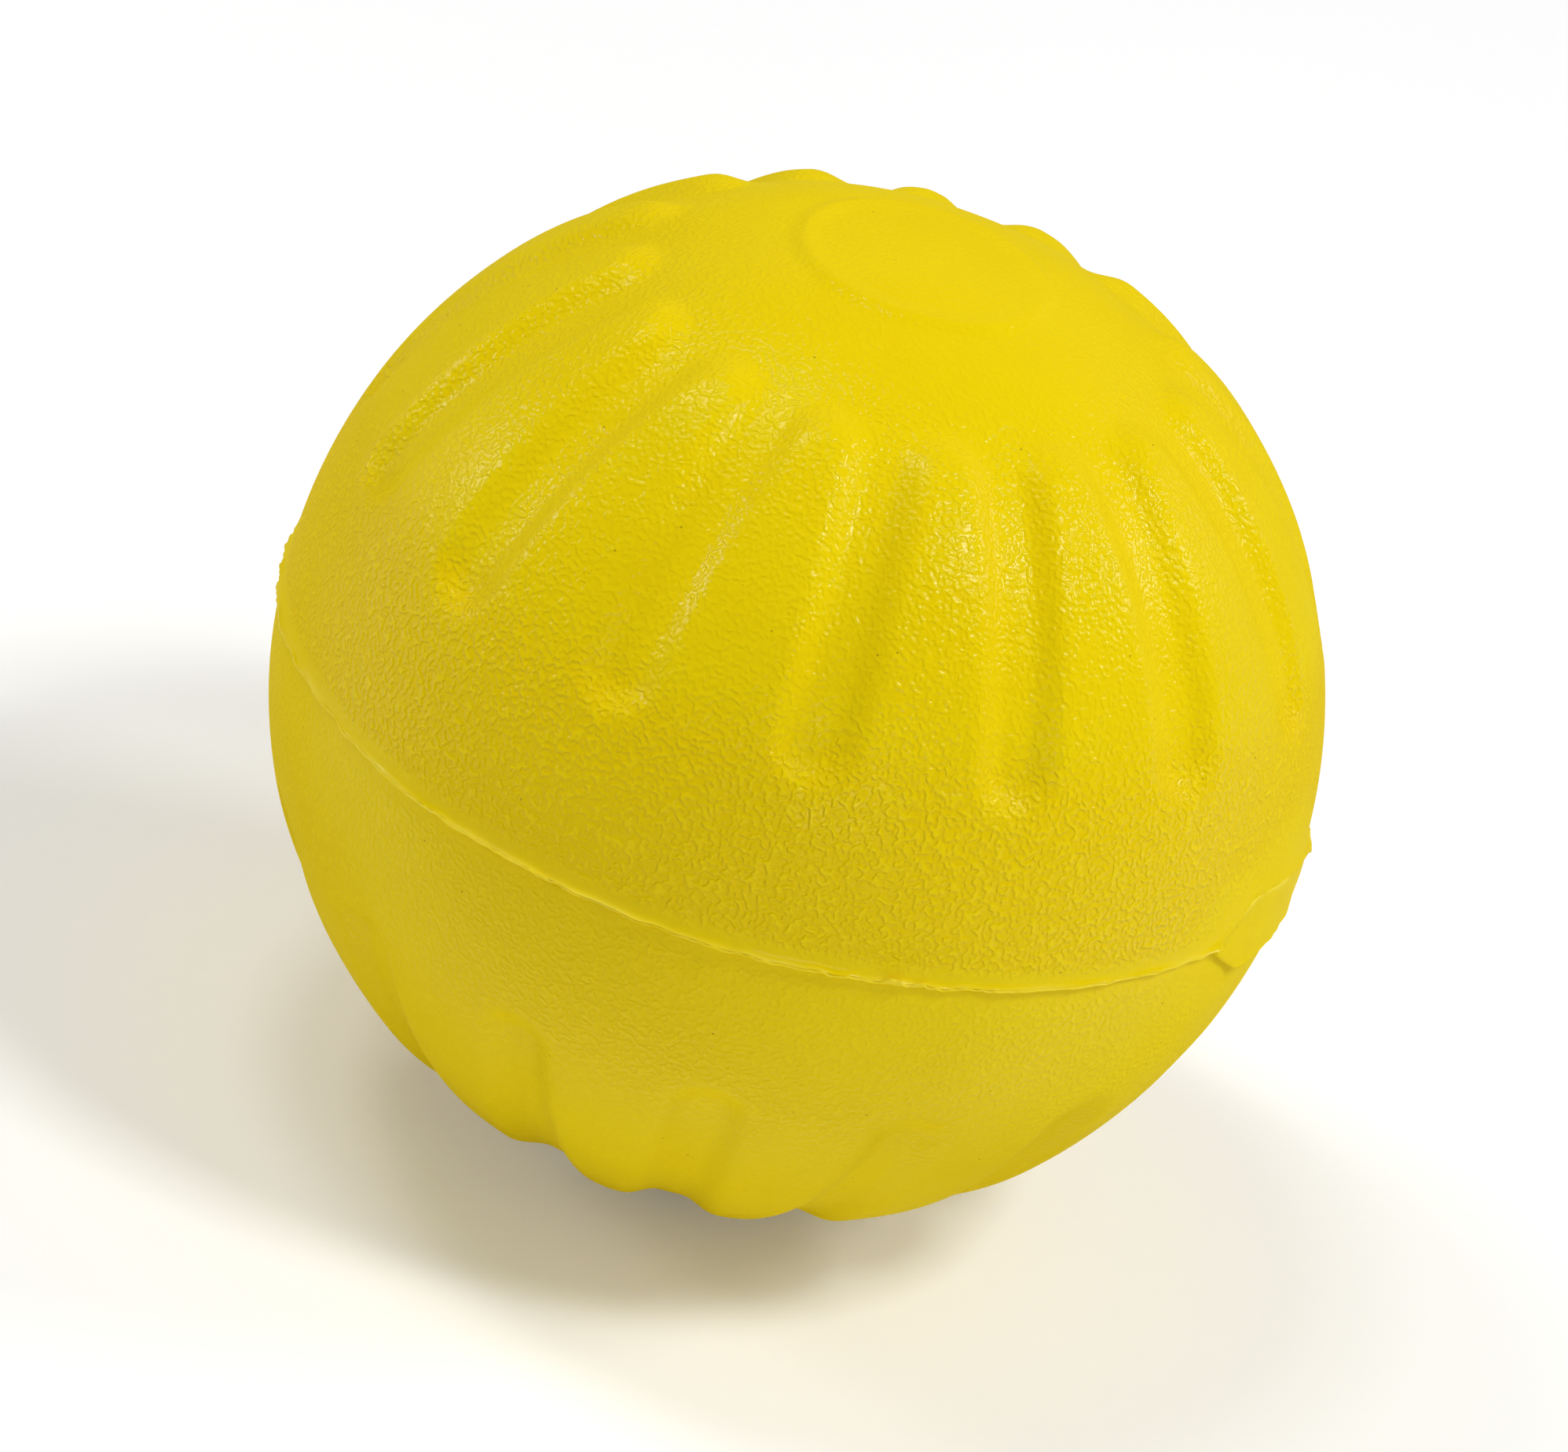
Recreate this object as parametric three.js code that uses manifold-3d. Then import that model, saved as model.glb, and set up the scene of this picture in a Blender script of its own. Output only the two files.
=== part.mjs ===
// A moulded foam ball with a grained skin, fifteen finger grooves on each half, a moulding seam and a gate.
// Millimetres, +Z up. The origin is the ball's centre, the seam lies in the XY plane and the gate faces +X.
import * as THREE from "three";
import { mergeVertices } from "three/addons/utils/BufferGeometryUtils.js";
import Module from "manifold-3d";

const wasm = await Module();
wasm.setup();

// Ball and its layers
const BALL_DIAMETER = 89; // across the ribs
const SKIN_THICKNESS = 2.5; // left under the floor of a groove
const FIT_GAP = 0.3; // clearance between neighbouring pieces

// Relief, alike on both halves
const GROOVE_COUNT = 15; // on each half
const GROOVE_WIDTH = 5.1; // between the middles of a groove's two walls
const GROOVE_DEPTH = 1.25; // of the grooves and of the polar cap that they run into
const WALL_RUN = 3.9; // how far a sloping wall reaches along the surface
const TIP_ROUNDING = 3.4; // how broadly the corners of a rib's tip are rounded
const CAP_ANGLE = 30.8; // degrees from the pole to the tips of the ribs
const BAND_ANGLE = 20.6; // degrees from the seam to the closed ends of the grooves

// Seam flash
const FLASH_THICKNESS = 0.5;
const FLASH_PROUD = 0.35; // how far its edge stands out from the ribs
const FLASH_EDGE = 0.2; // thickness left at its outer edge

// Gate stub, a hexagon trimmed by hand, with its two tips on the seam
const GATE_LENGTH = 24.5; // from tip to tip
const GATE_EDGE = 14; // how far its top and bottom edges reach along the seam
const GATE_TOP = 2.5; // from the seam up to the middle of its top edge
const GATE_BOTTOM = 3.6; // from the seam down to its bottom edge
const GATE_LEAN = 8.8; // degrees by which its top edge falls towards +Y
const GATE_PROUD = 0.45; // how far its face stands out from the ribs

// Colours and finish of the foam
const SKIN_COLOUR = 0xdec70c;
const FLASH_COLOUR = 0xe4ce1c;
const GATE_COLOUR = 0xd6bd0a;
const CORE_COLOUR = 0xe9d873;
const SKIN_ROUGHNESS = 0.45;
const CUT_ROUGHNESS = 0.6;
const CELL_ROUGHNESS = 0.9;

// Fineness of the meshes
const COLUMNS_PER_GROOVE = 10;
const COLUMN_CROWDING = 0.35; // draws the columns of a half towards its grooves
const CAP_ROWS = 3;
const TIP_ROWS = 5;
const CHANNEL_ROWS = 3;
const END_ROWS = 6;
const BAND_ROWS = 2;
const CORE_COLUMNS = 36;
const FLASH_COLUMNS = 72;
const GATE_COLUMNS = 120;

// Sizes that follow
const BALL_RADIUS = BALL_DIAMETER / 2;
const INNER_RADIUS = BALL_RADIUS - GROOVE_DEPTH - SKIN_THICKNESS;
const CORE_RADIUS = INNER_RADIUS - FIT_GAP;
const RIM_HEIGHT = FLASH_THICKNESS / 2;
const GROOVE_PITCH = (2 * Math.PI) / GROOVE_COUNT;
const CAP_REACH = BALL_RADIUS * THREE.MathUtils.degToRad(CAP_ANGLE);
const GROOVE_REACH = BALL_RADIUS * THREE.MathUtils.degToRad(90 - BAND_ANGLE);
const RIM_REACH = BALL_RADIUS * Math.acos(RIM_HEIGHT / BALL_RADIUS);

// Solids and geometries
function toSolid(geometry) {
  const bare = geometry.clone();
  bare.deleteAttribute("normal");
  bare.deleteAttribute("uv");
  const merged = mergeVertices(bare);
  const mesh = new wasm.Mesh({
    numProp: 3,
    vertProperties: merged.attributes.position.array,
    triVerts: new Uint32Array(merged.index.array),
  });
  return new wasm.Manifold(mesh);
}

function toGeometry(solid) {
  const mesh = solid.getMesh();
  const geometry = new THREE.BufferGeometry();
  geometry.setAttribute("position", new THREE.BufferAttribute(mesh.vertProperties, 3));
  geometry.setIndex(new THREE.BufferAttribute(mesh.triVerts, 1));
  geometry.computeVertexNormals();
  return geometry;
}

// A lathe turns its profile about Y, so the turned shape is stood up along Z.
function turned(profile, columns) {
  return new THREE.LatheGeometry(profile, columns).rotateX(Math.PI / 2);
}

// Relief: how far the surface is pressed in
// The lesser of two distances, with the corner where they meet rounded off.
function blendedLeast(a, b, rounding) {
  const overlap = Math.max(rounding - Math.abs(a - b), 0) / rounding;
  return Math.min(a, b) - (overlap * overlap * rounding) / 4;
}

// The depth at a distance along the surface from the pole and at an azimuth. The sunken area is the polar cap
// and the channels that run down from it, each closed by a round end.
function pressedDepth(reach, azimuth) {
  const turn = azimuth - GROOVE_PITCH * Math.round(azimuth / GROOVE_PITCH);
  const across = BALL_RADIUS * Math.sin(reach / BALL_RADIUS) * turn;
  const pastEnd = Math.max(reach - (GROOVE_REACH - GROOVE_WIDTH / 2), 0);
  const toChannel = Math.hypot(across, pastEnd) - GROOVE_WIDTH / 2;
  const toEdge = blendedLeast(toChannel, reach - CAP_REACH, TIP_ROUNDING);
  return GROOVE_DEPTH * THREE.MathUtils.smootherstep(-toEdge, -WALL_RUN / 2, WALL_RUN / 2);
}

// Rows of a half from the pole to the rim, closest where ribs end and where grooves end
function rowReaches() {
  const stops = [
    [0, 0],
    [CAP_REACH - WALL_RUN / 2, CAP_ROWS],
    [CAP_REACH + WALL_RUN / 2 + TIP_ROUNDING, TIP_ROWS],
    [GROOVE_REACH - GROOVE_WIDTH, CHANNEL_ROWS],
    [GROOVE_REACH + WALL_RUN / 2, END_ROWS],
    [RIM_REACH, BAND_ROWS],
  ];
  const reaches = [0];
  stops.slice(1).forEach(([end, rows], i) => {
    const start = stops[i][0];
    for (let row = 1; row <= rows; row++) {
      reaches.push(start + ((end - start) * row) / rows);
    }
  });
  return reaches;
}

// The upper half as a solid bowl shape, from its grooved outside down to the flat rim plane
function halfBall() {
  const outside = rowReaches().map((reach) => {
    const colatitude = reach / BALL_RADIUS;
    return new THREE.Vector2(Math.sin(colatitude), Math.cos(colatitude)).multiplyScalar(BALL_RADIUS);
  });
  const middleOfRim = new THREE.Vector2(0, outside.at(-1).y);
  const profile = [...outside, middleOfRim].reverse();
  const geometry = turned(profile, GROOVE_COUNT * COLUMNS_PER_GROOVE);
  const points = geometry.attributes.position;
  const point = new THREE.Vector3();
  for (let i = 0; i < points.count; i++) {
    if (i % profile.length === 0) continue; // the middle of the rim
    point.fromBufferAttribute(points, i);
    const even = Math.atan2(point.y, point.x);
    const azimuth = even - (COLUMN_CROWDING / GROOVE_COUNT) * Math.sin(GROOVE_COUNT * even);
    const colatitude = Math.acos(THREE.MathUtils.clamp(point.z / BALL_RADIUS, -1, 1));
    const radius = BALL_RADIUS - pressedDepth(BALL_RADIUS * colatitude, azimuth);
    points.setXYZ(
      i,
      radius * Math.sin(colatitude) * Math.cos(azimuth),
      radius * Math.sin(colatitude) * Math.sin(azimuth),
      radius * Math.cos(colatitude),
    );
  }
  return geometry;
}

function plainBall(radius, columns) {
  return new THREE.SphereGeometry(radius, columns, columns / 2).rotateX(Math.PI / 2);
}

// The gate's corners as points along the seam and up, anticlockwise from the tip at +Y
function gateCorners() {
  const edge = GATE_EDGE / 2;
  const fall = edge * Math.tan(THREE.MathUtils.degToRad(GATE_LEAN));
  return [
    new THREE.Vector2(GATE_LENGTH / 2, 0),
    new THREE.Vector2(edge, GATE_TOP - fall),
    new THREE.Vector2(-edge, GATE_TOP + fall),
    new THREE.Vector2(-GATE_LENGTH / 2, 0),
    new THREE.Vector2(-edge, -GATE_BOTTOM),
    new THREE.Vector2(edge, -GATE_BOTTOM),
  ];
}

// An outline with each of its sides moved out by a clearance
function grown(corners, clearance) {
  const outward = corners.map((corner, i) => {
    const along = corners[(i + 1) % corners.length].clone().sub(corner).normalize();
    return new THREE.Vector2(along.y, -along.x);
  });
  return corners.map((corner, i) => {
    const before = outward.at(i - 1);
    const shift = before.clone().add(outward[i]).divideScalar(1 + before.dot(outward[i]));
    return corner.clone().addScaledVector(shift, clearance);
  });
}

// A block through the skin at the gate, its outline grown by a clearance
function gateBlock(clearance, start, end) {
  const outline = new THREE.Shape(grown(gateCorners(), clearance));
  const block = new THREE.ExtrudeGeometry(outline, { depth: end - start, bevelEnabled: false });
  // The outline's length turns to Y and its height to Z, and the block runs out along X.
  const axes = new THREE.Matrix4().makeBasis(
    new THREE.Vector3(0, 1, 0),
    new THREE.Vector3(0, 0, 1),
    new THREE.Vector3(1, 0, 0),
  );
  return block.applyMatrix4(axes).translate(start, 0, 0);
}

const hollow = toSolid(plainBall(INNER_RADIUS, CORE_COLUMNS));
const gateNotch = toSolid(gateBlock(FIT_GAP, INNER_RADIUS - SKIN_THICKNESS, BALL_DIAMETER));

function skin(half) {
  return toGeometry(toSolid(half).subtract(hollow).subtract(gateNotch));
}

// The flash lies between the two rims and thins towards its outer edge.
function flashRing() {
  const inner = INNER_RADIUS;
  const outer = BALL_RADIUS + FLASH_PROUD;
  const profile = [
    new THREE.Vector2(inner, -RIM_HEIGHT),
    new THREE.Vector2(BALL_RADIUS, -RIM_HEIGHT),
    new THREE.Vector2(outer, -FLASH_EDGE / 2),
    new THREE.Vector2(outer, FLASH_EDGE / 2),
    new THREE.Vector2(BALL_RADIUS, RIM_HEIGHT),
    new THREE.Vector2(inner, RIM_HEIGHT),
    new THREE.Vector2(inner, -RIM_HEIGHT),
  ];
  return toGeometry(toSolid(turned(profile, FLASH_COLUMNS)).subtract(gateNotch));
}

// The stub starts at the skin's inner face and ends just proud of the ribs, following the ball.
function gateStub() {
  const plug = toSolid(gateBlock(0, INNER_RADIUS, BALL_DIAMETER));
  const reach = toSolid(plainBall(BALL_RADIUS + GATE_PROUD, GATE_COLUMNS));
  return toGeometry(plug.intersect(reach));
}

const foam = (color, roughness) => new THREE.MeshStandardMaterial({ color, roughness, metalness: 0 });

function piece(name, geometry, material) {
  const mesh = new THREE.Mesh(geometry, material);
  mesh.name = name;
  return mesh;
}

const ball = new THREE.Group();
ball.add(
  piece("foam_core", plainBall(CORE_RADIUS, CORE_COLUMNS), foam(CORE_COLOUR, CELL_ROUGHNESS)),
  piece("upper_skin", skin(halfBall()), foam(SKIN_COLOUR, SKIN_ROUGHNESS)),
  piece("lower_skin", skin(halfBall().rotateX(Math.PI)), foam(SKIN_COLOUR, SKIN_ROUGHNESS)),
  piece("seam_flash", flashRing(), foam(FLASH_COLOUR, SKIN_ROUGHNESS)),
  piece("gate_stub", gateStub(), foam(GATE_COLOUR, CUT_ROUGHNESS)),
);

export default ball;
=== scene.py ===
import math

import bpy
import numpy as np
from mathutils import Matrix, Vector


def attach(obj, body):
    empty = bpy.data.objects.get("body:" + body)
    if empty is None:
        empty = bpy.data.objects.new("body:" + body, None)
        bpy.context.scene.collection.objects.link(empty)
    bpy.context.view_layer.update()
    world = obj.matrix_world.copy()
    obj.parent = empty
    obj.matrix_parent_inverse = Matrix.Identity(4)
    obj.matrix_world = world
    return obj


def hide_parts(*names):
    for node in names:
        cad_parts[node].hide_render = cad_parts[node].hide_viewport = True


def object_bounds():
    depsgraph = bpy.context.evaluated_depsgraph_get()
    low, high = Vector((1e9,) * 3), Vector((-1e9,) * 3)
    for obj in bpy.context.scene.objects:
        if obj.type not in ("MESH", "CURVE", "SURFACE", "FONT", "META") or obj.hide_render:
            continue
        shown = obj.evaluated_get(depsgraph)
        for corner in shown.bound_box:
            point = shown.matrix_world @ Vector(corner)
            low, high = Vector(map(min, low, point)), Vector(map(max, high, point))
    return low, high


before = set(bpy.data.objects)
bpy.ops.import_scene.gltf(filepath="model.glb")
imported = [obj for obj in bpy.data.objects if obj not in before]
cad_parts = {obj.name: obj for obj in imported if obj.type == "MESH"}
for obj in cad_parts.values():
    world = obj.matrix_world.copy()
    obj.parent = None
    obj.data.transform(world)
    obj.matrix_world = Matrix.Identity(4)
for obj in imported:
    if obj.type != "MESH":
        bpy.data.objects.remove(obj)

CAD_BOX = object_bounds()

# All lengths are in metres. The origin is the ball's centre, the seam lies in the XY plane and
# the gate faces +X.
MM = 0.001
FULL_TURN = 2 * math.pi

# Ball and its layers, as in the solids
BALL_RADIUS = 44.5 * MM
SKIN_THICKNESS = 2.5 * MM
FIT_GAP = 0.3 * MM

# Relief of the two halves
GROOVE_COUNT = 15
GROOVE_WIDTH = 5.1 * MM
GROOVE_DEPTH = 1.25 * MM
WALL_RUN = 3.9 * MM
TIP_ROUNDING = 3.4 * MM
CAP_ANGLE = math.radians(30.8)
BAND_ANGLE = math.radians(20.6)

# Unevenness of the cured foam
UNEVEN_HEIGHT = 0.035 * MM
UNEVEN_LONG = 45 * MM
UNEVEN_SHORT = 14 * MM
UNEVEN_WAVES = 28
UNEVEN_SEED = 11

# Plain raised ring in the middle of the upper cap
RING_REACH = 10.5 * MM
RING_WIDTH = 3.0 * MM
RING_HEIGHT = 0.3 * MM

# Ripples round the ball: random seed, fewest waves and most waves in a turn
SEAM_WAVE_RIPPLE = (3, 2, 9)
SEAM_NICK_RIPPLE = (4, 30, 110)
LIP_WAVE_RIPPLE = (5, 2, 14)
LIP_NICK_RIPPLE = (6, 30, 110)
FLASH_WAVE_RIPPLE = (7, 3, 20)
FLASH_NICK_RIPPLE = (8, 40, 120)
PALE_RIPPLE = (9, 4, 40)
FRAY_RIPPLE = (12, 120, 330)
GATE_NICK_RIPPLE = (22, 5, 15)

# Seam: the rims follow a slightly wavy parting line, the upper rim flares out and the lower one tucks in
RIM_HEIGHT = 0.15 * MM
SEAM_WAVE = 0.06 * MM
SEAM_NICKS = 0.055 * MM
LIP_SWELL = 0.11 * MM
LIP_SWELL_RUN = 1.6 * MM
LIP_PROUD = 0.25 * MM
LIP_RUN = 0.2 * MM
LIP_CHANGE = 0.28
LIP_WAVE_SHARE = 0.8
LIP_NICK_SHARE = 0.5
TUCK_DEPTH = 0.14 * MM
TUCK_RUN = 0.09 * MM
RIM_ROUNDING = 0.02 * MM
RIM_ROUNDING_RUN = 0.6 * RIM_ROUNDING

# Upper rim paler, most on one stretch of the seam
PALE_RUN = 0.16 * MM
PALE_MIDDLE = math.radians(-97)
PALE_SPREAD = math.radians(24)
PALE_BASE = 0.34
PALE_STRETCH = 0.56
PALE_CHANGE = 0.24

# Flash between the rims
FLASH_HALF = 0.13 * MM
FLASH_EDGE = 0.06 * MM
FLASH_PROUD = 0.03 * MM
FLASH_CHANGE = 0.03 * MM
FLASH_WAVE_SHARE = 0.6
FLASH_NICK_SHARE = 0.5
FLASH_FRAY = 0.034 * MM
FLASH_TAPER = 0.3 * MM
FLASH_LOWER_TAPER = 0.08 * MM
FLASH_SHOULDER = 0.9
FLASH_LOWER_SHOULDER = 0.8
FLASH_UNDERSIDE = 0.5

# Torn flakes of flash: azimuth, half width, rise above the seam and reach beyond the edge
FLAKES = (
    (math.radians(-57.7), math.radians(1.4), 0.55 * MM, 0.24 * MM),
    (math.radians(-54.7), math.radians(0.8), 0.3 * MM, 0.14 * MM),
    (math.radians(-96.0), math.radians(0.9), 0.22 * MM, 0.06 * MM),
    (math.radians(-31.0), math.radians(0.8), 0.2 * MM, 0.06 * MM),
    (math.radians(62.0), math.radians(1.1), 0.3 * MM, 0.1 * MM),
    (math.radians(148.0), math.radians(0.8), 0.26 * MM, 0.08 * MM),
)
FLAKE_THICKNESS = 0.07 * MM
FLAKE_FULL_WIDTH = 0.5
FLAKE_SHOULDER = 0.8
FLAKE_UNDERSIDE = 0.7

# Gate pad: a hexagon trimmed by hand, with its two tips on the seam and a top edge that leans
GATE_LENGTH = 24.8 * MM
GATE_EDGE = 14.2 * MM
GATE_TOP = 2.5 * MM
GATE_BOTTOM = 3.6 * MM
GATE_LEAN = math.radians(8.8)
GATE_SHARPNESS = 18
GATE_MIDDLE = 0.01 * MM
GATE_PROUD = 0.34 * MM
GATE_BURR = 0.16 * MM
GATE_BURR_RUN = 0.6 * MM
GATE_ROUNDING = 0.16 * MM
GATE_SCAR = 0.42 * MM
GATE_SCAR_FADE = 0.6 * MM
GATE_NICKS = 0.05 * MM
GATE_NICK_RUN = 0.7 * MM
GATE_FLARE = 0.4 * MM
GATE_FLARE_RUN = 0.9 * MM
GATE_SEED = 21
STEM_INSET = 1.3 * MM
STEM_DEPTH = 2.0 * MM
STEM_EASE = 0.8 * MM
SEAT_CLEARANCE = 0.03 * MM
FLASH_SINK = 1.2 * STEM_DEPTH

# Swells on the gate's face, along the seam and across it: height and length
GATE_SWELL_ALONG = (0.05 * MM, 2.1 * MM)
GATE_SWELL_ACROSS = (0.03 * MM, 1.3 * MM)

# Strength of the mould grain: 1 on the upper ribs, less on the caps, near the gate and on the lower half,
# more in the band beside the seam, and none at the upper rim
GRAIN_ON_CAP = 0.6
GRAIN_CAP_START = 7 * MM
GRAIN_CAP_END = 1 * MM
GRAIN_BAND_GAIN = 1.05
# The band's raised strength also picks out where its painted shade goes in the skin's colour
GRAIN_BAND_START = 9 * MM
GRAIN_BAND_END = 3 * MM
GRAIN_RIM_START = 0.3 * MM
GRAIN_RIM_END = 2.0 * MM
GRAIN_GATE_LOSS = 0.75
GRAIN_GATE_RUN = 9.0 * MM
GRAIN_LOWER = 0.54
GRAIN_LOWER_RIM = 0.4

# Fineness of the meshes
COLUMNS = 540
ROW_STEP = 0.5 * MM
RIM_ZONE = 2.2 * MM
RIM_ROWS = 18
RIM_CROWDING = 1.8
INNER_ROWS = 8
FLASH_COLUMNS = 1440
GATE_SEGMENTS = 168
GATE_RINGS = 20
GATE_CROWDING = 1.5
CORE_COLUMNS = 160
CORE_ROWS = 80

# Foam cells on the core
CORE_CELL_HEIGHT = 0.08 * MM
CORE_SEED = 31

# Colours
YELLOW = (0.766, 0.579, 0.001, 1.0)
YELLOW_DEEP = (0.741, 0.55, 0.0005, 1.0)
# Paler yellow: the painted highlight on the grain's tips, and one tone of the flash
YELLOW_PALE = (0.806, 0.62, 0.002, 1.0)
# Deeper, more orange yellow for the band beside the seam: painted shade, as that band lies in shade
SHADED_BAND_YELLOW = (0.745, 0.536, 0.0005, 1.0)
WHITISH_YELLOW = (0.83, 0.675, 0.06, 1.0)
SPECK = (0.30, 0.21, 0.004, 1.0)
GLEAM = (1.0, 0.98, 0.9, 1.0)
CORE_DEEP = (0.72, 0.58, 0.10, 1.0)
CORE_PALE = (0.84, 0.72, 0.20, 1.0)
FLOOR_GREY = (0.86, 0.86, 0.86, 1.0)
FLOOR_PALE = (0.89, 0.89, 0.89, 1.0)
WHITE = (1.0, 1.0, 1.0, 1.0)

# Noises in the materials: scale per metre, detail and roughness
GRAIN_NOISE = (2300.0, 0.0, 0.45)
FINE_NOISE = (3600.0, 1.0, 0.4)
SKIN_TONE_NOISE = (55.0, 4.0, 0.6)
SKIN_GLOSS_NOISE = (160.0, 3.0, 0.5)
FLASH_TONE_NOISE = (300.0, 3.0, 0.6)
FLASH_FINE_NOISE = (2600.0, 3.0, 0.6)
CUT_TONE_NOISE = (240.0, 3.0, 0.6)
FLOOR_NOISE = (3.0, 4.0, 0.6)

# Drifts that loosen a pattern: scale per metre of a slow noise, and how far it moves the pattern
GRAIN_DRIFT = (900.0, 0.5 * MM)
CUT_DRIFT = (400.0, 0.6 * MM)
DRIFT_DETAIL = 2.0
DRIFT_ROUGHNESS = 0.5
NOISE_MIDDLE = 0.5

# Patterns of cells and knife strokes: scale per metre
SPECK_CELLS = 330.0
PIT_CELLS = 2600.0
CORE_CELLS = 1500.0
STROKE_SCALE = 420.0
STROKE_DISTORTION = 2.0
STROKE_DETAIL = 2.0

# Bumps: heights, and the shares of the lesser patterns in them
GRAIN_HEIGHT = 0.057 * MM
FINE_SHARE = 0.08
FLASH_BUMP = 0.02 * MM
CUT_BUMP = 0.02 * MM
STROKE_SHARE = 0.5
CORE_BUMP = 0.1 * MM

# Ranges: a pattern's low and high value, and what they become where that isn't 0 and 1
PEBBLE_RANGE = (0.28, 0.78)
# The grain's tips are painted paler: a painted highlight
TIP_HIGHLIGHT_RANGE = (0.52, 0.70, 0.0, 0.3)
TONE_RANGE = (0.3, 0.7)
# Grain strengths above 1 mark the band beside the seam for its painted shade
BAND_SHADE_RANGE = (1.2, 2.0)
SPECK_RANGE = (0.02, 0.045, 0.75, 0.0)
FLASH_TONE_RANGE = (0.35, 0.75, 0.0, 0.6)
PIT_RANGE = (0.05, 0.4)
CELL_RANGE = (0.0, 0.6)
CORE_TONE_RANGE = (0.1, 0.6)

# The same for roughness; the skin's gloss softens where it is seen at a slant
SKIN_ROUGHNESS = (0.3, 0.7, 0.09, 0.15)
SLANT_ROUGHNESS = (0.25, 0.75, 0.0, 0.7)
SLANT_BLEND = 0.5
FLASH_ROUGHNESS = (0.3, 0.7, 0.38, 0.5)
CUT_ROUGHNESS = (0.05, 0.4, 0.85, 0.7)
CORE_ROUGHNESS = (0.0, 0.6, 0.95, 0.8)
FLOOR_ROUGHNESS = (0.3, 0.7, 0.9, 0.97)

# Specular levels
SKIN_SPECULAR = 0.085
FLASH_SPECULAR = 0.14
CUT_SPECULAR = 0.06
CORE_SPECULAR = 0.2

# Sockets of Blender's Mix node that hold colours
MIX_FIRST = 6
MIX_SECOND = 7
MIX_RESULT = 2

# Camera, fitted to the photo's outline, seam and grooves; the picture is 1996 by 1848 pixels
PICTURE_WIDTH = 1996
FOCAL_PIXELS = 12348
SENSOR_WIDTH = 36
PICTURE_BALL = 44.28 * MM
CAMERA_AZIMUTH = math.radians(-75.61)
CAMERA_ELEVATION = math.radians(28.58)
CAMERA_ROLL = math.radians(-16.40)
CAMERA_REACH = 18.479 * PICTURE_BALL
CAMERA_RIGHT = -0.02564 * PICTURE_BALL
CAMERA_UP = -0.05932 * PICTURE_BALL

# Light
WORLD_LEVEL = 0.24
FLOOR_SIZE = 8.0
FLOOR_GLOW = 0.12

# Soft boxes: name, azimuth and elevation in degrees, edge in metres and power in watts
LAMP_REACH = 1.0
LAMPS = (
    ("left_top", -180, 56, 0.21, 1.8),
    ("top", -170, 74, 0.21, 1.5),
    ("left_low", -172, 18, 0.24, 2.1),
    ("right_top", -12, 58, 0.2, 4.1),
    ("right_side", 31, 35, 0.24, 2.65),
    ("front_low", -60, 9, 0.3, 1.4),
)

# Sizes that follow
INNER_RADIUS = BALL_RADIUS - GROOVE_DEPTH - SKIN_THICKNESS
CORE_RADIUS = INNER_RADIUS - FIT_GAP
GROOVE_PITCH = FULL_TURN / GROOVE_COUNT
CAP_REACH = BALL_RADIUS * CAP_ANGLE
GROOVE_REACH = BALL_RADIUS * (math.pi / 2 - BAND_ANGLE)
RIM_REACH = BALL_RADIUS * math.acos(RIM_HEIGHT / BALL_RADIUS)
UPPER, LOWER = 1, -1


def smooth_step(x, low, high):
    t = np.clip((x - low) / (high - low), 0, 1)
    return t * t * (3 - 2 * t)


def smoother_step(t):
    return t**3 * (t * (6 * t - 15) + 10)


def blended_least(a, b, rounding):
    overlap = np.maximum(rounding - np.abs(a - b), 0) / rounding
    return np.minimum(a, b) - overlap * overlap * rounding / 4


def round_turn(columns):
    """Azimuths of evenly spaced columns."""
    return np.arange(columns) * (FULL_TURN / columns)


def wrapped(azimuth):
    """The same bearing between minus and plus half a turn."""
    return (azimuth + math.pi) % FULL_TURN - math.pi


def ball_points(radius, colatitude, azimuth, side):
    """Points on a half of the ball. Colatitude runs from the half's own pole."""
    return np.stack(
        [
            radius * np.sin(colatitude) * np.cos(azimuth),
            radius * np.sin(colatitude) * np.sin(azimuth),
            side * radius * np.cos(colatitude),
        ],
        axis=-1,
    )


def axis_points(radius, azimuth, height):
    """Points at a radius from the polar axis and a height above the seam's plane."""
    return np.stack([radius * np.cos(azimuth), radius * np.sin(azimuth), height], axis=-1)


def ripple(azimuth, seed, lowest, highest):
    """A closed wavy line round the ball, about 1 high, made of whole waves from lowest to highest."""
    draw = np.random.RandomState(seed)
    total = np.zeros_like(azimuth)
    for count in range(lowest, highest + 1):
        total += draw.normal() * np.cos(count * azimuth + draw.uniform(0, FULL_TURN))
    return total / math.sqrt((highest - lowest + 1) / 2)


def unevenness(direction):
    """Slow swells of the surface, about 1 high, at points given by their directions."""
    draw = np.random.RandomState(UNEVEN_SEED)
    total = np.zeros(direction.shape[:-1])
    for _ in range(UNEVEN_WAVES):
        heading = draw.normal(size=3)
        heading /= np.linalg.norm(heading)
        length = UNEVEN_SHORT * (UNEVEN_LONG / UNEVEN_SHORT) ** draw.uniform()
        phase = draw.uniform(0, FULL_TURN)
        total += np.cos(direction @ heading * (FULL_TURN * BALL_RADIUS / length) + phase)
    return total / math.sqrt(UNEVEN_WAVES / 2)


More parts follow.
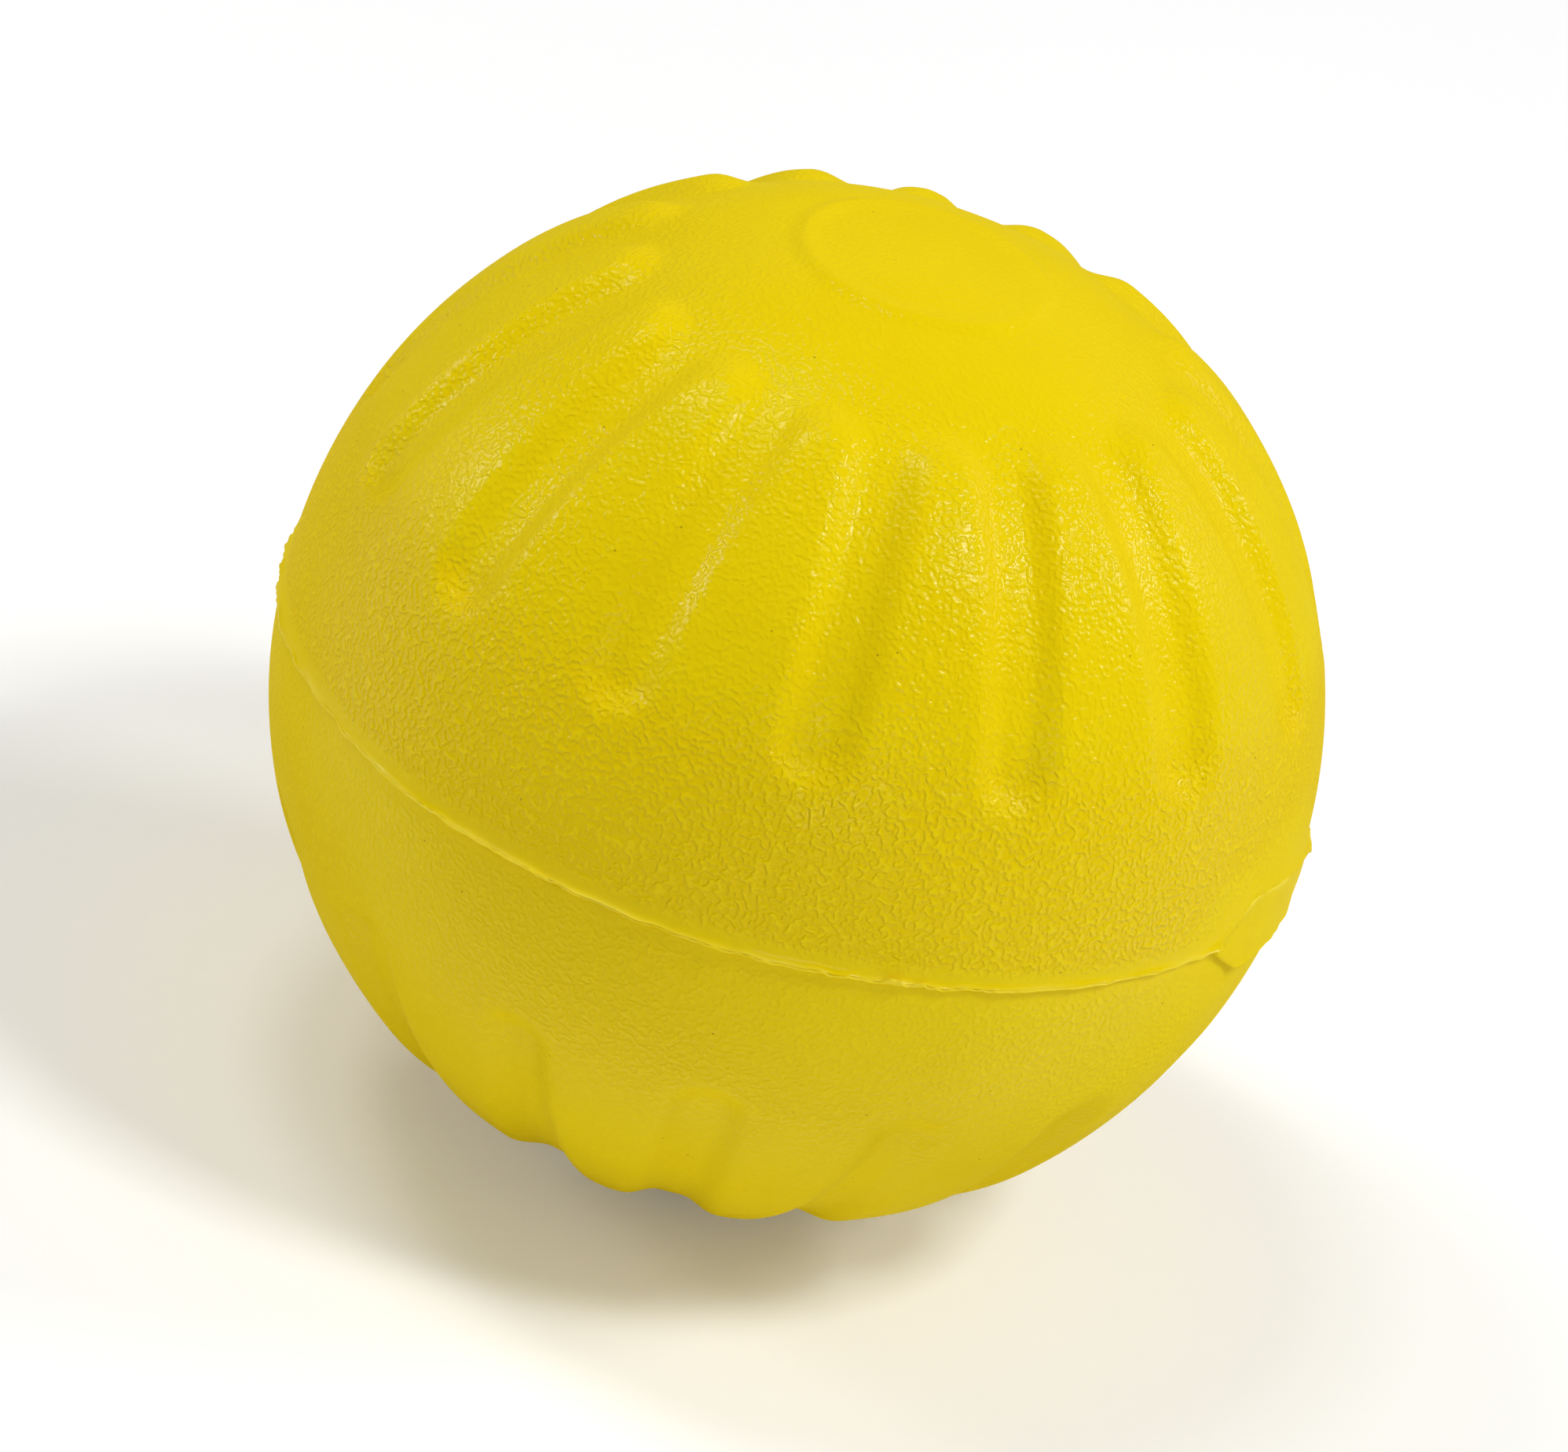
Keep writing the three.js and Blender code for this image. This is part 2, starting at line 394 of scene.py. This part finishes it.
def pressed_share(reach, azimuth):
    """How far the relief is pressed in, from 0 on a rib to 1 on the floor of a groove or of the cap."""
    turn = azimuth - GROOVE_PITCH * np.round(azimuth / GROOVE_PITCH)
    across = BALL_RADIUS * np.sin(reach / BALL_RADIUS) * turn
    past_end = np.maximum(reach - (GROOVE_REACH - GROOVE_WIDTH / 2), 0)
    to_channel = np.hypot(across, past_end) - GROOVE_WIDTH / 2
    to_edge = blended_least(to_channel, reach - CAP_REACH, TIP_ROUNDING)
    return smoother_step(np.clip(0.5 - to_edge / WALL_RUN, 0, 1))


def seam_height(azimuth):
    wave = SEAM_WAVE * ripple(azimuth, *SEAM_WAVE_RIPPLE)
    return wave + SEAM_NICKS * ripple(azimuth, *SEAM_NICK_RIPPLE)


def gate_sides():
    """The hexagon's sides, as outward directions and distances from its middle."""
    tip, edge = GATE_LENGTH / 2, GATE_EDGE / 2
    fall = edge * math.tan(GATE_LEAN)
    corners = [
        (tip, 0.0),
        (edge, GATE_TOP - fall),
        (-edge, GATE_TOP + fall),
        (-tip, 0.0),
        (-edge, -GATE_BOTTOM),
        (edge, -GATE_BOTTOM),
    ]
    sides = []
    for (x, y), (next_x, next_y) in zip(corners, corners[1:] + corners[:1]):
        length = math.hypot(next_x - x, next_y - y)
        out_x, out_y = (next_y - y) / length, (x - next_x) / length
        sides.append((out_x, out_y, out_x * x + out_y * y))
    return sides


def gate_edge(across, up, inset):
    """How far the gate's rounded outline, drawn in by an inset, lies from its middle in a direction."""
    total = 0
    for x, y, distance in gate_sides():
        total = total + np.maximum((across * x + up * y) / (distance - inset), 0) ** GATE_SHARPNESS
    return total ** (-1 / GATE_SHARPNESS)


def to_gate(azimuth, height, inset):
    """Distance outside the gate's outline, measured from its middle; negative inside it."""
    across = BALL_RADIUS * wrapped(azimuth)
    away = np.maximum(np.hypot(across, height), GATE_MIDDLE)
    return away - gate_edge(across / away, height / away, inset)


def lip_share(azimuth):
    """How strongly the upper rim flares out round the seam, about 1."""
    wave = LIP_WAVE_SHARE * ripple(azimuth, *LIP_WAVE_RIPPLE)
    return 1 + LIP_CHANGE * (wave + LIP_NICK_SHARE * ripple(azimuth, *LIP_NICK_RIPPLE))


def pale_share(azimuth):
    """How much paler the upper rim is, from 0 to 1."""
    stretch = np.exp(-((wrapped(azimuth - PALE_MIDDLE) / PALE_SPREAD) ** 2))
    pale = PALE_BASE + PALE_STRETCH * stretch + PALE_CHANGE * ripple(azimuth, *PALE_RIPPLE)
    return np.clip(pale, 0, 1)


def grain_strength(reach, above_rim, gate_gap, side):
    past_cap = smooth_step(reach, CAP_REACH - GRAIN_CAP_START, CAP_REACH - GRAIN_CAP_END)
    near_gate = smooth_step(gate_gap, GRAIN_GATE_RUN, 0)
    in_band = smooth_step(reach, GROOVE_REACH - GRAIN_BAND_START, GROOVE_REACH + GRAIN_BAND_END)
    from_rim = smooth_step(above_rim, GRAIN_RIM_START, GRAIN_RIM_END)
    grain = GRAIN_ON_CAP + (1 - GRAIN_ON_CAP) * past_cap
    grain = grain * (1 - GRAIN_GATE_LOSS * near_gate)
    grain = grain * (1 + GRAIN_BAND_GAIN * in_band)
    if side == UPPER:
        return grain * from_rim
    return grain * GRAIN_LOWER * (GRAIN_LOWER_RIM + (1 - GRAIN_LOWER_RIM) * from_rim)


def outer_surface(colatitude, azimuth, side, rim_colatitude):
    """A half's outside: its radius, the strength of the mould grain and the paleness of the rim."""
    reach = BALL_RADIUS * colatitude
    above_rim = BALL_RADIUS * (rim_colatitude - colatitude)
    height = side * BALL_RADIUS * np.cos(colatitude)
    gate_gap = to_gate(azimuth, height, 0)
    radius = BALL_RADIUS - GROOVE_DEPTH * pressed_share(reach, azimuth)
    radius = radius + UNEVEN_HEIGHT * unevenness(ball_points(1, colatitude, azimuth, side))
    if side == UPPER:
        swell = LIP_SWELL * np.clip(1 - above_rim / LIP_SWELL_RUN, 0, 1) ** 2
        lip = LIP_PROUD * np.exp(-above_rim / LIP_RUN)
        radius = radius + lip_share(azimuth) * (swell + lip)
        radius = radius + GATE_FLARE * np.exp(-np.maximum(gate_gap, 0) / GATE_FLARE_RUN)
        bead = np.clip(np.abs(reach - RING_REACH) / (RING_WIDTH / 2), 0, 1)
        radius = radius + RING_HEIGHT * np.cos(bead * math.pi / 2) ** 2
        pale = pale_share(azimuth) * np.exp(-above_rim / PALE_RUN)
    else:
        radius = radius - TUCK_DEPTH * np.exp(-above_rim / TUCK_RUN)
        pale = np.zeros_like(radius)
    radius = radius - RIM_ROUNDING * np.exp(-above_rim / RIM_ROUNDING_RUN)
    stem = smooth_step(to_gate(azimuth, height, STEM_INSET - STEM_EASE), 0, -STEM_EASE)
    radius = radius * (1 - stem) + (BALL_RADIUS - STEM_DEPTH) * stem
    return radius, grain_strength(reach, above_rim, gate_gap, side), pale


def add_mesh(name, points, faces, **layers):
    """A smooth mesh in the scene, with a number per point for each named layer."""
    mesh = bpy.data.meshes.new(name)
    mesh.from_pydata(points, [], faces)
    mesh.validate()
    mesh.polygons.foreach_set("use_smooth", np.ones(len(mesh.polygons), dtype=bool))
    for key, values in layers.items():
        layer = mesh.attributes.new(key, "FLOAT", "POINT")
        layer.data.foreach_set("value", np.asarray(values, dtype=np.float32))
    mesh.update()
    piece = bpy.data.objects.new(name, mesh)
    bpy.context.scene.collection.objects.link(piece)
    return piece


def ring_faces(first, second, columns):
    """Quads between two rings of points that start at the given indices."""
    here = np.arange(columns)
    beyond = (here + 1) % columns
    return np.stack([first + here, second + here, second + beyond, first + beyond], axis=1).tolist()


def fan_faces(centre, ring, columns):
    """Triangles between one point and a ring of points."""
    here = np.arange(columns)
    beyond = (here + 1) % columns
    return np.stack([np.full(columns, centre), ring + here, ring + beyond], axis=1).tolist()


def closed_faces(rings, columns):
    """Faces of a body made of one point, some rings of points and one last point, in that order."""
    faces = fan_faces(0, 1, columns)
    for i in range(rings - 1):
        faces += ring_faces(1 + i * columns, 1 + (i + 1) * columns, columns)
    last = 1 + (rings - 1) * columns
    return faces + [face[::-1] for face in fan_faces(last + columns, last, columns)]


def half_shell(name, side):
    """The skin of one half: a grained outside, a flat rim on the seam and a plain inside."""
    azimuth = round_turn(COLUMNS)
    rim_z = side * RIM_HEIGHT + seam_height(azimuth)
    rim_colatitude = np.arccos(side * rim_z / BALL_RADIUS)
    even_rows = int(round((RIM_REACH - RIM_ZONE) / ROW_STEP))
    even = np.linspace(0, RIM_REACH - RIM_ZONE, even_rows + 1)[1:]
    crowded = RIM_REACH - RIM_ZONE * (1 - np.linspace(0, 1, RIM_ROWS + 1)[1:]) ** RIM_CROWDING
    shares = np.concatenate([even, crowded]) / RIM_REACH
    colatitude = shares[:, None] * rim_colatitude[None, :]
    turned = np.broadcast_to(azimuth, colatitude.shape)
    radius, grain, pale = outer_surface(colatitude, turned, side, rim_colatitude[None, :])
    pole = np.zeros(1)
    pole_radius, pole_grain, pole_pale = outer_surface(pole, pole, side, rim_colatitude[:1])
    outside = ball_points(radius, colatitude, turned, side)
    inner_shares = np.linspace(1, 0, INNER_ROWS + 1)[:-1]
    inner_colatitude = inner_shares[:, None] * np.arccos(side * rim_z / INNER_RADIUS)[None, :]
    inner_turned = np.broadcast_to(azimuth, inner_colatitude.shape)
    inside = INNER_RADIUS * ball_points(1, inner_colatitude, inner_turned, side)
    points = np.concatenate(
        [
            [[0, 0, side * pole_radius[0]]],
            outside.reshape(-1, 3),
            inside.reshape(-1, 3),
            [[0, 0, side * INNER_RADIUS]],
        ]
    )
    plain = np.zeros(INNER_ROWS * COLUMNS + 1)
    grain = np.concatenate([pole_grain, grain.ravel(), plain])
    pale = np.concatenate([pole_pale, pale.ravel(), plain])
    faces = closed_faces(len(shares) + INNER_ROWS, COLUMNS)
    if side == LOWER:
        faces = [face[::-1] for face in faces]
    return add_mesh(name, points, faces, grain=grain, pale=pale)


def flake_shape(azimuth):
    """How far torn flakes stand up from the seam and out beyond the fin's edge."""
    rise, reach = np.zeros_like(azimuth), np.zeros_like(azimuth)
    for middle, half_width, height, proud in FLAKES:
        away = np.abs(wrapped(azimuth - middle))
        share = smooth_step(away, half_width, FLAKE_FULL_WIDTH * half_width)
        rise += height * share
        reach += proud * share
    return rise, reach


def seam_fin(name):
    """A thin ring between the rims, drawn to an uneven outer edge and let in under the gate."""
    azimuth = round_turn(FLASH_COLUMNS)
    wave = seam_height(azimuth)
    change = FLASH_WAVE_SHARE * ripple(azimuth, *FLASH_WAVE_RIPPLE)
    change = change + FLASH_NICK_SHARE * ripple(azimuth, *FLASH_NICK_RIPPLE)
    edge = BALL_RADIUS + lip_share(azimuth) * (LIP_SWELL + LIP_PROUD)
    edge = edge + FLASH_PROUD + FLASH_CHANGE * change
    stem = smooth_step(to_gate(azimuth, wave, STEM_INSET - STEM_EASE), STEM_EASE, -STEM_EASE)
    edge = edge * (1 - stem) + (BALL_RADIUS - FLASH_SINK) * stem
    root = np.full(FLASH_COLUMNS, INNER_RADIUS)
    rise, reach = flake_shape(azimuth)
    fray = FLASH_FRAY * ripple(azimuth, *FRAY_RIPPLE)
    section = [
        (root, FLASH_HALF),
        (edge - FLASH_TAPER, FLASH_HALF),
        (edge + reach - FLAKE_THICKNESS, FLASH_SHOULDER * FLASH_HALF + FLAKE_SHOULDER * rise + fray),
        (edge + reach + fray, FLASH_EDGE + rise + fray),
        (edge + reach + fray, -FLASH_UNDERSIDE * FLASH_EDGE + FLAKE_UNDERSIDE * rise + fray),
        (edge + fray, -FLASH_EDGE + fray),
        (edge - FLASH_LOWER_TAPER, -FLASH_LOWER_SHOULDER * FLASH_HALF + fray),
        (edge - FLASH_TAPER, -FLASH_HALF),
        (root, -FLASH_HALF),
    ]
    points = np.concatenate([axis_points(radius, azimuth, wave + height) for radius, height in section])
    faces = []
    for i in range(len(section)):
        following = (i + 1) % len(section)
        faces += ring_faces(i * FLASH_COLUMNS, following * FLASH_COLUMNS, FLASH_COLUMNS)
    return add_mesh(name, points, faces)


def gate_outline(inset):
    """Points round the gate's outline as (along the seam, height), drawn in by an inset."""
    angle = round_turn(GATE_SEGMENTS)
    across, up = np.cos(angle), np.sin(angle)
    edge = gate_edge(across, up, inset)
    return np.stack([edge * across, edge * up], axis=1)


def gate_pad(name):
    """A plug with a broad trimmed face, upright like a cylinder, and a stem let into the skin."""
    outline = gate_outline(0)
    width = np.linalg.norm(outline, axis=1)
    face_radius = BALL_RADIUS + GATE_PROUD
    phases = np.random.RandomState(GATE_SEED).uniform(0, FULL_TURN, 2)
    nicks = GATE_NICKS * ripple(round_turn(GATE_SEGMENTS), *GATE_NICK_RIPPLE)
    along_height, along_length = GATE_SWELL_ALONG
    across_height, across_length = GATE_SWELL_ACROSS
    rings = []
    scars = [np.zeros(1)]
    for share in 1 - (1 - np.linspace(0, 1, GATE_RINGS + 1)[1:]) ** GATE_CROWDING:
        place = share * outline
        inside = (1 - share) * width
        from_edge = np.minimum(inside, GATE_ROUNDING)
        drop = GATE_ROUNDING - np.sqrt(GATE_ROUNDING**2 - (GATE_ROUNDING - from_edge) ** 2)
        swell = along_height * np.cos(place[:, 0] / along_length + phases[0])
        swell += across_height * np.cos(place[:, 1] / across_length + phases[1])
        swell += GATE_BURR * np.exp(-(place[:, 1] + GATE_BOTTOM) / GATE_BURR_RUN)
        swell += nicks * np.exp(-inside / GATE_NICK_RUN)
        rings.append((place, face_radius - drop + swell))
        above_seam = smooth_step(place[:, 1], -GATE_SCAR_FADE, GATE_SCAR_FADE)
        scars.append(np.exp(-inside / GATE_SCAR) * above_seam)
    stem = gate_outline(STEM_INSET + SEAT_CLEARANCE)
    for place in (outline, stem):
        rings.append((place, np.sqrt(BALL_RADIUS**2 - place[:, 1] ** 2) + SEAT_CLEARANCE))
    foot = BALL_RADIUS - STEM_DEPTH + SEAT_CLEARANCE
    rings.append((stem, np.full(len(stem), foot)))
    loops = [axis_points(radius, place[:, 0] / BALL_RADIUS, place[:, 1]) for place, radius in rings]
    points = np.concatenate([[[face_radius, 0, 0]], *loops, [[foot, 0, 0]]])
    scar = np.concatenate(scars)
    scar = np.concatenate([scar, np.zeros(len(points) - len(scar))])
    return add_mesh(name, points, closed_faces(len(rings), GATE_SEGMENTS), pale=scar)


def core_body(name):
    """The light middle of the ball, its surface broken up by foam cells."""
    azimuth = round_turn(CORE_COLUMNS)
    draw = np.random.RandomState(CORE_SEED)
    loops = []
    for row in range(1, CORE_ROWS):
        radius = CORE_RADIUS - CORE_CELL_HEIGHT * draw.uniform(0, 1, CORE_COLUMNS)
        colatitude = np.full(CORE_COLUMNS, math.pi * row / CORE_ROWS)
        loops.append(ball_points(radius, colatitude, azimuth, UPPER))
    points = np.concatenate([[[0, 0, CORE_RADIUS]], *loops, [[0, 0, -CORE_RADIUS]]])
    return add_mesh(name, points, closed_faces(len(loops), CORE_COLUMNS))


class Shader:
    """A material's node tree, with short ways to add nodes and join them."""

    def __init__(self, name):
        self.material = bpy.data.materials.new(name)
        self.material.use_nodes = True
        self.nodes = self.material.node_tree.nodes
        self.links = self.material.node_tree.links
        self.nodes.clear()
        self.surface = self.add("ShaderNodeBsdfPrincipled")
        output = self.add("ShaderNodeOutputMaterial")
        self.links.new(self.surface.outputs["BSDF"], output.inputs["Surface"])

    def add(self, kind, settings=None, **inputs):
        node = self.nodes.new(kind)
        for key, value in (settings or {}).items():
            setattr(node, key, value)
        for key, value in inputs.items():
            self.feed(node.inputs[key.replace("_", " ")], value)
        return node

    def feed(self, socket, value):
        if isinstance(value, bpy.types.NodeSocket):
            self.links.new(value, socket)
        else:
            socket.default_value = value

    def feed_all(self, node, values):
        for socket, value in zip(node.inputs, values):
            self.feed(socket, value)
        return node.outputs[0]

    def math(self, operation, *values):
        return self.feed_all(self.add("ShaderNodeMath", {"operation": operation}), values)

    def vector_math(self, operation, *values):
        return self.feed_all(self.add("ShaderNodeVectorMath", {"operation": operation}), values)

    def span(self, value, low, high, start=0.0, end=1.0):
        node = self.add("ShaderNodeMapRange", {"interpolation_type": "SMOOTHSTEP"})
        return self.feed_all(node, (value, low, high, start, end))

    def blend(self, share, first, second):
        node = self.add("ShaderNodeMix", {"data_type": "RGBA"}, Factor=share)
        self.feed(node.inputs[MIX_FIRST], first)
        self.feed(node.inputs[MIX_SECOND], second)
        return node.outputs[MIX_RESULT]

    def place(self):
        return self.add("ShaderNodeTexCoord").outputs["Object"]

    def layer(self, name):
        return self.add("ShaderNodeAttribute", {"attribute_name": name}).outputs["Fac"]

    def noise(self, place, scale, detail, roughness, output="Fac"):
        node = self.add("ShaderNodeTexNoise", Vector=place, Scale=scale, Detail=detail, Roughness=roughness)
        return node.outputs[output]

    def cells(self, place, scale):
        node = self.add("ShaderNodeTexVoronoi", Vector=place, Scale=scale, Randomness=1.0)
        return node.outputs["Distance"]

    def warped(self, place, scale, amount):
        """The place moved about by a slow noise, so that a regular pattern loses its regularity."""
        drift = self.noise(place, scale, DRIFT_DETAIL, DRIFT_ROUGHNESS, "Color")
        centred = self.vector_math("SUBTRACT", drift, (NOISE_MIDDLE,) * 3)
        return self.vector_math("MULTIPLY_ADD", centred, (amount,) * 3, place)

    def bump(self, height, distance):
        node = self.add("ShaderNodeBump", Height=height, Distance=distance, Strength=1.0)
        self.links.new(node.outputs[0], self.surface.inputs["Normal"])

    def finish(self, **inputs):
        for key, value in inputs.items():
            self.feed(self.surface.inputs[key.replace("_", " ")], value)
        return self.material


def skin_material():
    s = Shader("grained_foam_skin")
    place = s.place()
    grain = s.layer("grain")
    winding = s.noise(s.warped(place, *GRAIN_DRIFT), *GRAIN_NOISE)
    coarse = s.math("MULTIPLY", s.span(winding, *PEBBLE_RANGE), grain)
    s.bump(s.math("MULTIPLY_ADD", s.noise(place, *FINE_NOISE), FINE_SHARE, coarse), GRAIN_HEIGHT)
    tone = s.blend(s.span(s.noise(place, *SKIN_TONE_NOISE), *TONE_RANGE), YELLOW_DEEP, YELLOW)
    # Painted shade: the band beside the seam, where the grain strength rises above 1, is painted a deeper
    # yellow
    tone = s.blend(s.span(grain, *BAND_SHADE_RANGE), tone, SHADED_BAND_YELLOW)
    # Painted highlight: the tips of the grain are painted a paler yellow, standing in for the glints on
    # them
    tips = s.math("MULTIPLY", s.span(winding, *TIP_HIGHLIGHT_RANGE), grain)
    tone = s.blend(tips, tone, YELLOW_PALE)
    tone = s.blend(s.layer("pale"), tone, WHITISH_YELLOW)
    tone = s.blend(s.span(s.cells(place, SPECK_CELLS), *SPECK_RANGE), tone, SPECK)
    patches = s.span(s.noise(place, *SKIN_GLOSS_NOISE), *SKIN_ROUGHNESS)
    facing = s.add("ShaderNodeLayerWeight", Blend=SLANT_BLEND).outputs["Facing"]
    rough = s.math("ADD", patches, s.span(facing, *SLANT_ROUGHNESS))
    return s.finish(
        Base_Color=tone,
        Roughness=rough,
        Specular_IOR_Level=SKIN_SPECULAR,
        Specular_Tint=GLEAM,
    )


def flash_material():
    s = Shader("smooth_foam_flash")
    place = s.place()
    slow = s.noise(place, *FLASH_TONE_NOISE)
    tone = s.blend(s.span(slow, *FLASH_TONE_RANGE), YELLOW_PALE, WHITISH_YELLOW)
    s.bump(s.noise(place, *FLASH_FINE_NOISE), FLASH_BUMP)
    rough = s.span(slow, *FLASH_ROUGHNESS)
    return s.finish(Base_Color=tone, Roughness=rough, Specular_IOR_Level=FLASH_SPECULAR)


def cut_material():
    s = Shader("trimmed_foam")
    place = s.place()
    strokes = s.add(
        "ShaderNodeTexWave",
        {"wave_type": "BANDS", "bands_direction": "DIAGONAL"},
        Vector=s.warped(place, *CUT_DRIFT),
        Scale=STROKE_SCALE,
        Distortion=STROKE_DISTORTION,
        Detail=STROKE_DETAIL,
    ).outputs["Fac"]
    pits = s.cells(place, PIT_CELLS)
    s.bump(s.math("MULTIPLY_ADD", strokes, STROKE_SHARE, s.span(pits, *PIT_RANGE)), CUT_BUMP)
    tone = s.blend(s.span(s.noise(place, *CUT_TONE_NOISE), *TONE_RANGE), YELLOW_DEEP, YELLOW)
    tone = s.blend(s.layer("pale"), tone, WHITISH_YELLOW)
    rough = s.span(pits, *CUT_ROUGHNESS)
    return s.finish(Base_Color=tone, Roughness=rough, Specular_IOR_Level=CUT_SPECULAR)


def core_material():
    s = Shader("closed_cell_foam")
    cells = s.cells(s.place(), CORE_CELLS)
    s.bump(s.span(cells, *CELL_RANGE), CORE_BUMP)
    tone = s.blend(s.span(cells, *CORE_TONE_RANGE), CORE_DEEP, CORE_PALE)
    rough = s.span(cells, *CORE_ROUGHNESS)
    return s.finish(Base_Color=tone, Roughness=rough, Specular_IOR_Level=CORE_SPECULAR)


def shown_level(s, shown):
    """A level of 0, raised for the rays that show the background: from the camera, gloss and glass."""
    path = s.add("ShaderNodeLightPath")
    seen = path.outputs["Is Camera Ray"]
    for name in ("Is Glossy Ray", "Is Transmission Ray"):
        seen = s.math("MAXIMUM", seen, path.outputs[name])
    return s.add("ShaderNodeMapRange", Value=seen, To_Min=0.0, To_Max=shown).outputs[0]


def floor_material():
    s = Shader("pale_floor")
    slow = s.noise(s.place(), *FLOOR_NOISE)
    return s.finish(
        Base_Color=s.blend(slow, FLOOR_GREY, FLOOR_PALE),
        Roughness=s.span(slow, *FLOOR_ROUGHNESS),
        Specular_IOR_Level=0.0,
        Emission_Color=WHITE,
        Emission_Strength=shown_level(s, FLOOR_GLOW),
    )


def dress(piece, node, material):
    piece.data.materials.append(material)
    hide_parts(node)
    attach(piece, "root")


def add_floor():
    half = FLOOR_SIZE / 2
    level = CAD_BOX[0][2]
    points = [(-half, -half, level), (half, -half, level), (half, half, level), (-half, half, level)]
    floor = add_mesh("floor", points, [(0, 1, 2, 3)])
    floor.data.materials.append(floor_material())


def set_world():
    world = bpy.data.worlds.new("studio")
    world.use_nodes = True
    nodes = world.node_tree.nodes
    nodes.clear()
    sky = nodes.new("ShaderNodeBackground")
    sky.inputs["Color"].default_value = WHITE
    sky.inputs["Strength"].default_value = WORLD_LEVEL
    output = nodes.new("ShaderNodeOutputWorld")
    world.node_tree.links.new(sky.outputs[0], output.inputs["Surface"])
    bpy.context.scene.world = world


def bearing(azimuth, elevation):
    """The direction from the ball's centre at an azimuth and an elevation."""
    level = math.cos(elevation)
    return Vector((level * math.cos(azimuth), level * math.sin(azimuth), math.sin(elevation)))


def add_lamp(name, azimuth, elevation, size, power):
    """A square soft box that faces the ball's centre."""
    light = bpy.data.lights.new(name, "AREA")
    light.shape = "SQUARE"
    light.size = size
    light.energy = power
    lamp = bpy.data.objects.new(name, light)
    out = bearing(math.radians(azimuth), math.radians(elevation))
    lamp.location = out * LAMP_REACH
    lamp.rotation_euler = out.to_track_quat("Z", "Y").to_euler()
    lamp.visible_camera = False
    bpy.context.scene.collection.objects.link(lamp)


def add_camera():
    back = bearing(CAMERA_AZIMUTH, CAMERA_ELEVATION)
    level = Vector((-math.sin(CAMERA_AZIMUTH), math.cos(CAMERA_AZIMUTH), 0))
    upright = back.cross(level)
    right = level * math.cos(CAMERA_ROLL) - upright * math.sin(CAMERA_ROLL)
    up = upright * math.cos(CAMERA_ROLL) + level * math.sin(CAMERA_ROLL)
    place = back * CAMERA_REACH + right * CAMERA_RIGHT + up * CAMERA_UP
    data = bpy.data.cameras.new("camera")
    data.sensor_fit = "HORIZONTAL"
    data.sensor_width = SENSOR_WIDTH
    data.lens = FOCAL_PIXELS * SENSOR_WIDTH / PICTURE_WIDTH
    camera = bpy.data.objects.new("camera", data)
    turn = Matrix((right, up, back)).transposed().to_4x4()
    camera.matrix_world = Matrix.Translation(place) @ turn
    bpy.context.scene.collection.objects.link(camera)
    bpy.context.scene.camera = camera


skin = skin_material()
dress(half_shell("upper_shell", UPPER), "upper_skin", skin)
dress(half_shell("lower_shell", LOWER), "lower_skin", skin)
dress(seam_fin("seam_fin"), "seam_flash", flash_material())
dress(gate_pad("gate_pad"), "gate_stub", cut_material())
dress(core_body("core_body"), "foam_core", core_material())
add_floor()
set_world()
for lamp_settings in LAMPS:
    add_lamp(*lamp_settings)
add_camera()
bpy.context.scene.view_settings.view_transform = "Standard"
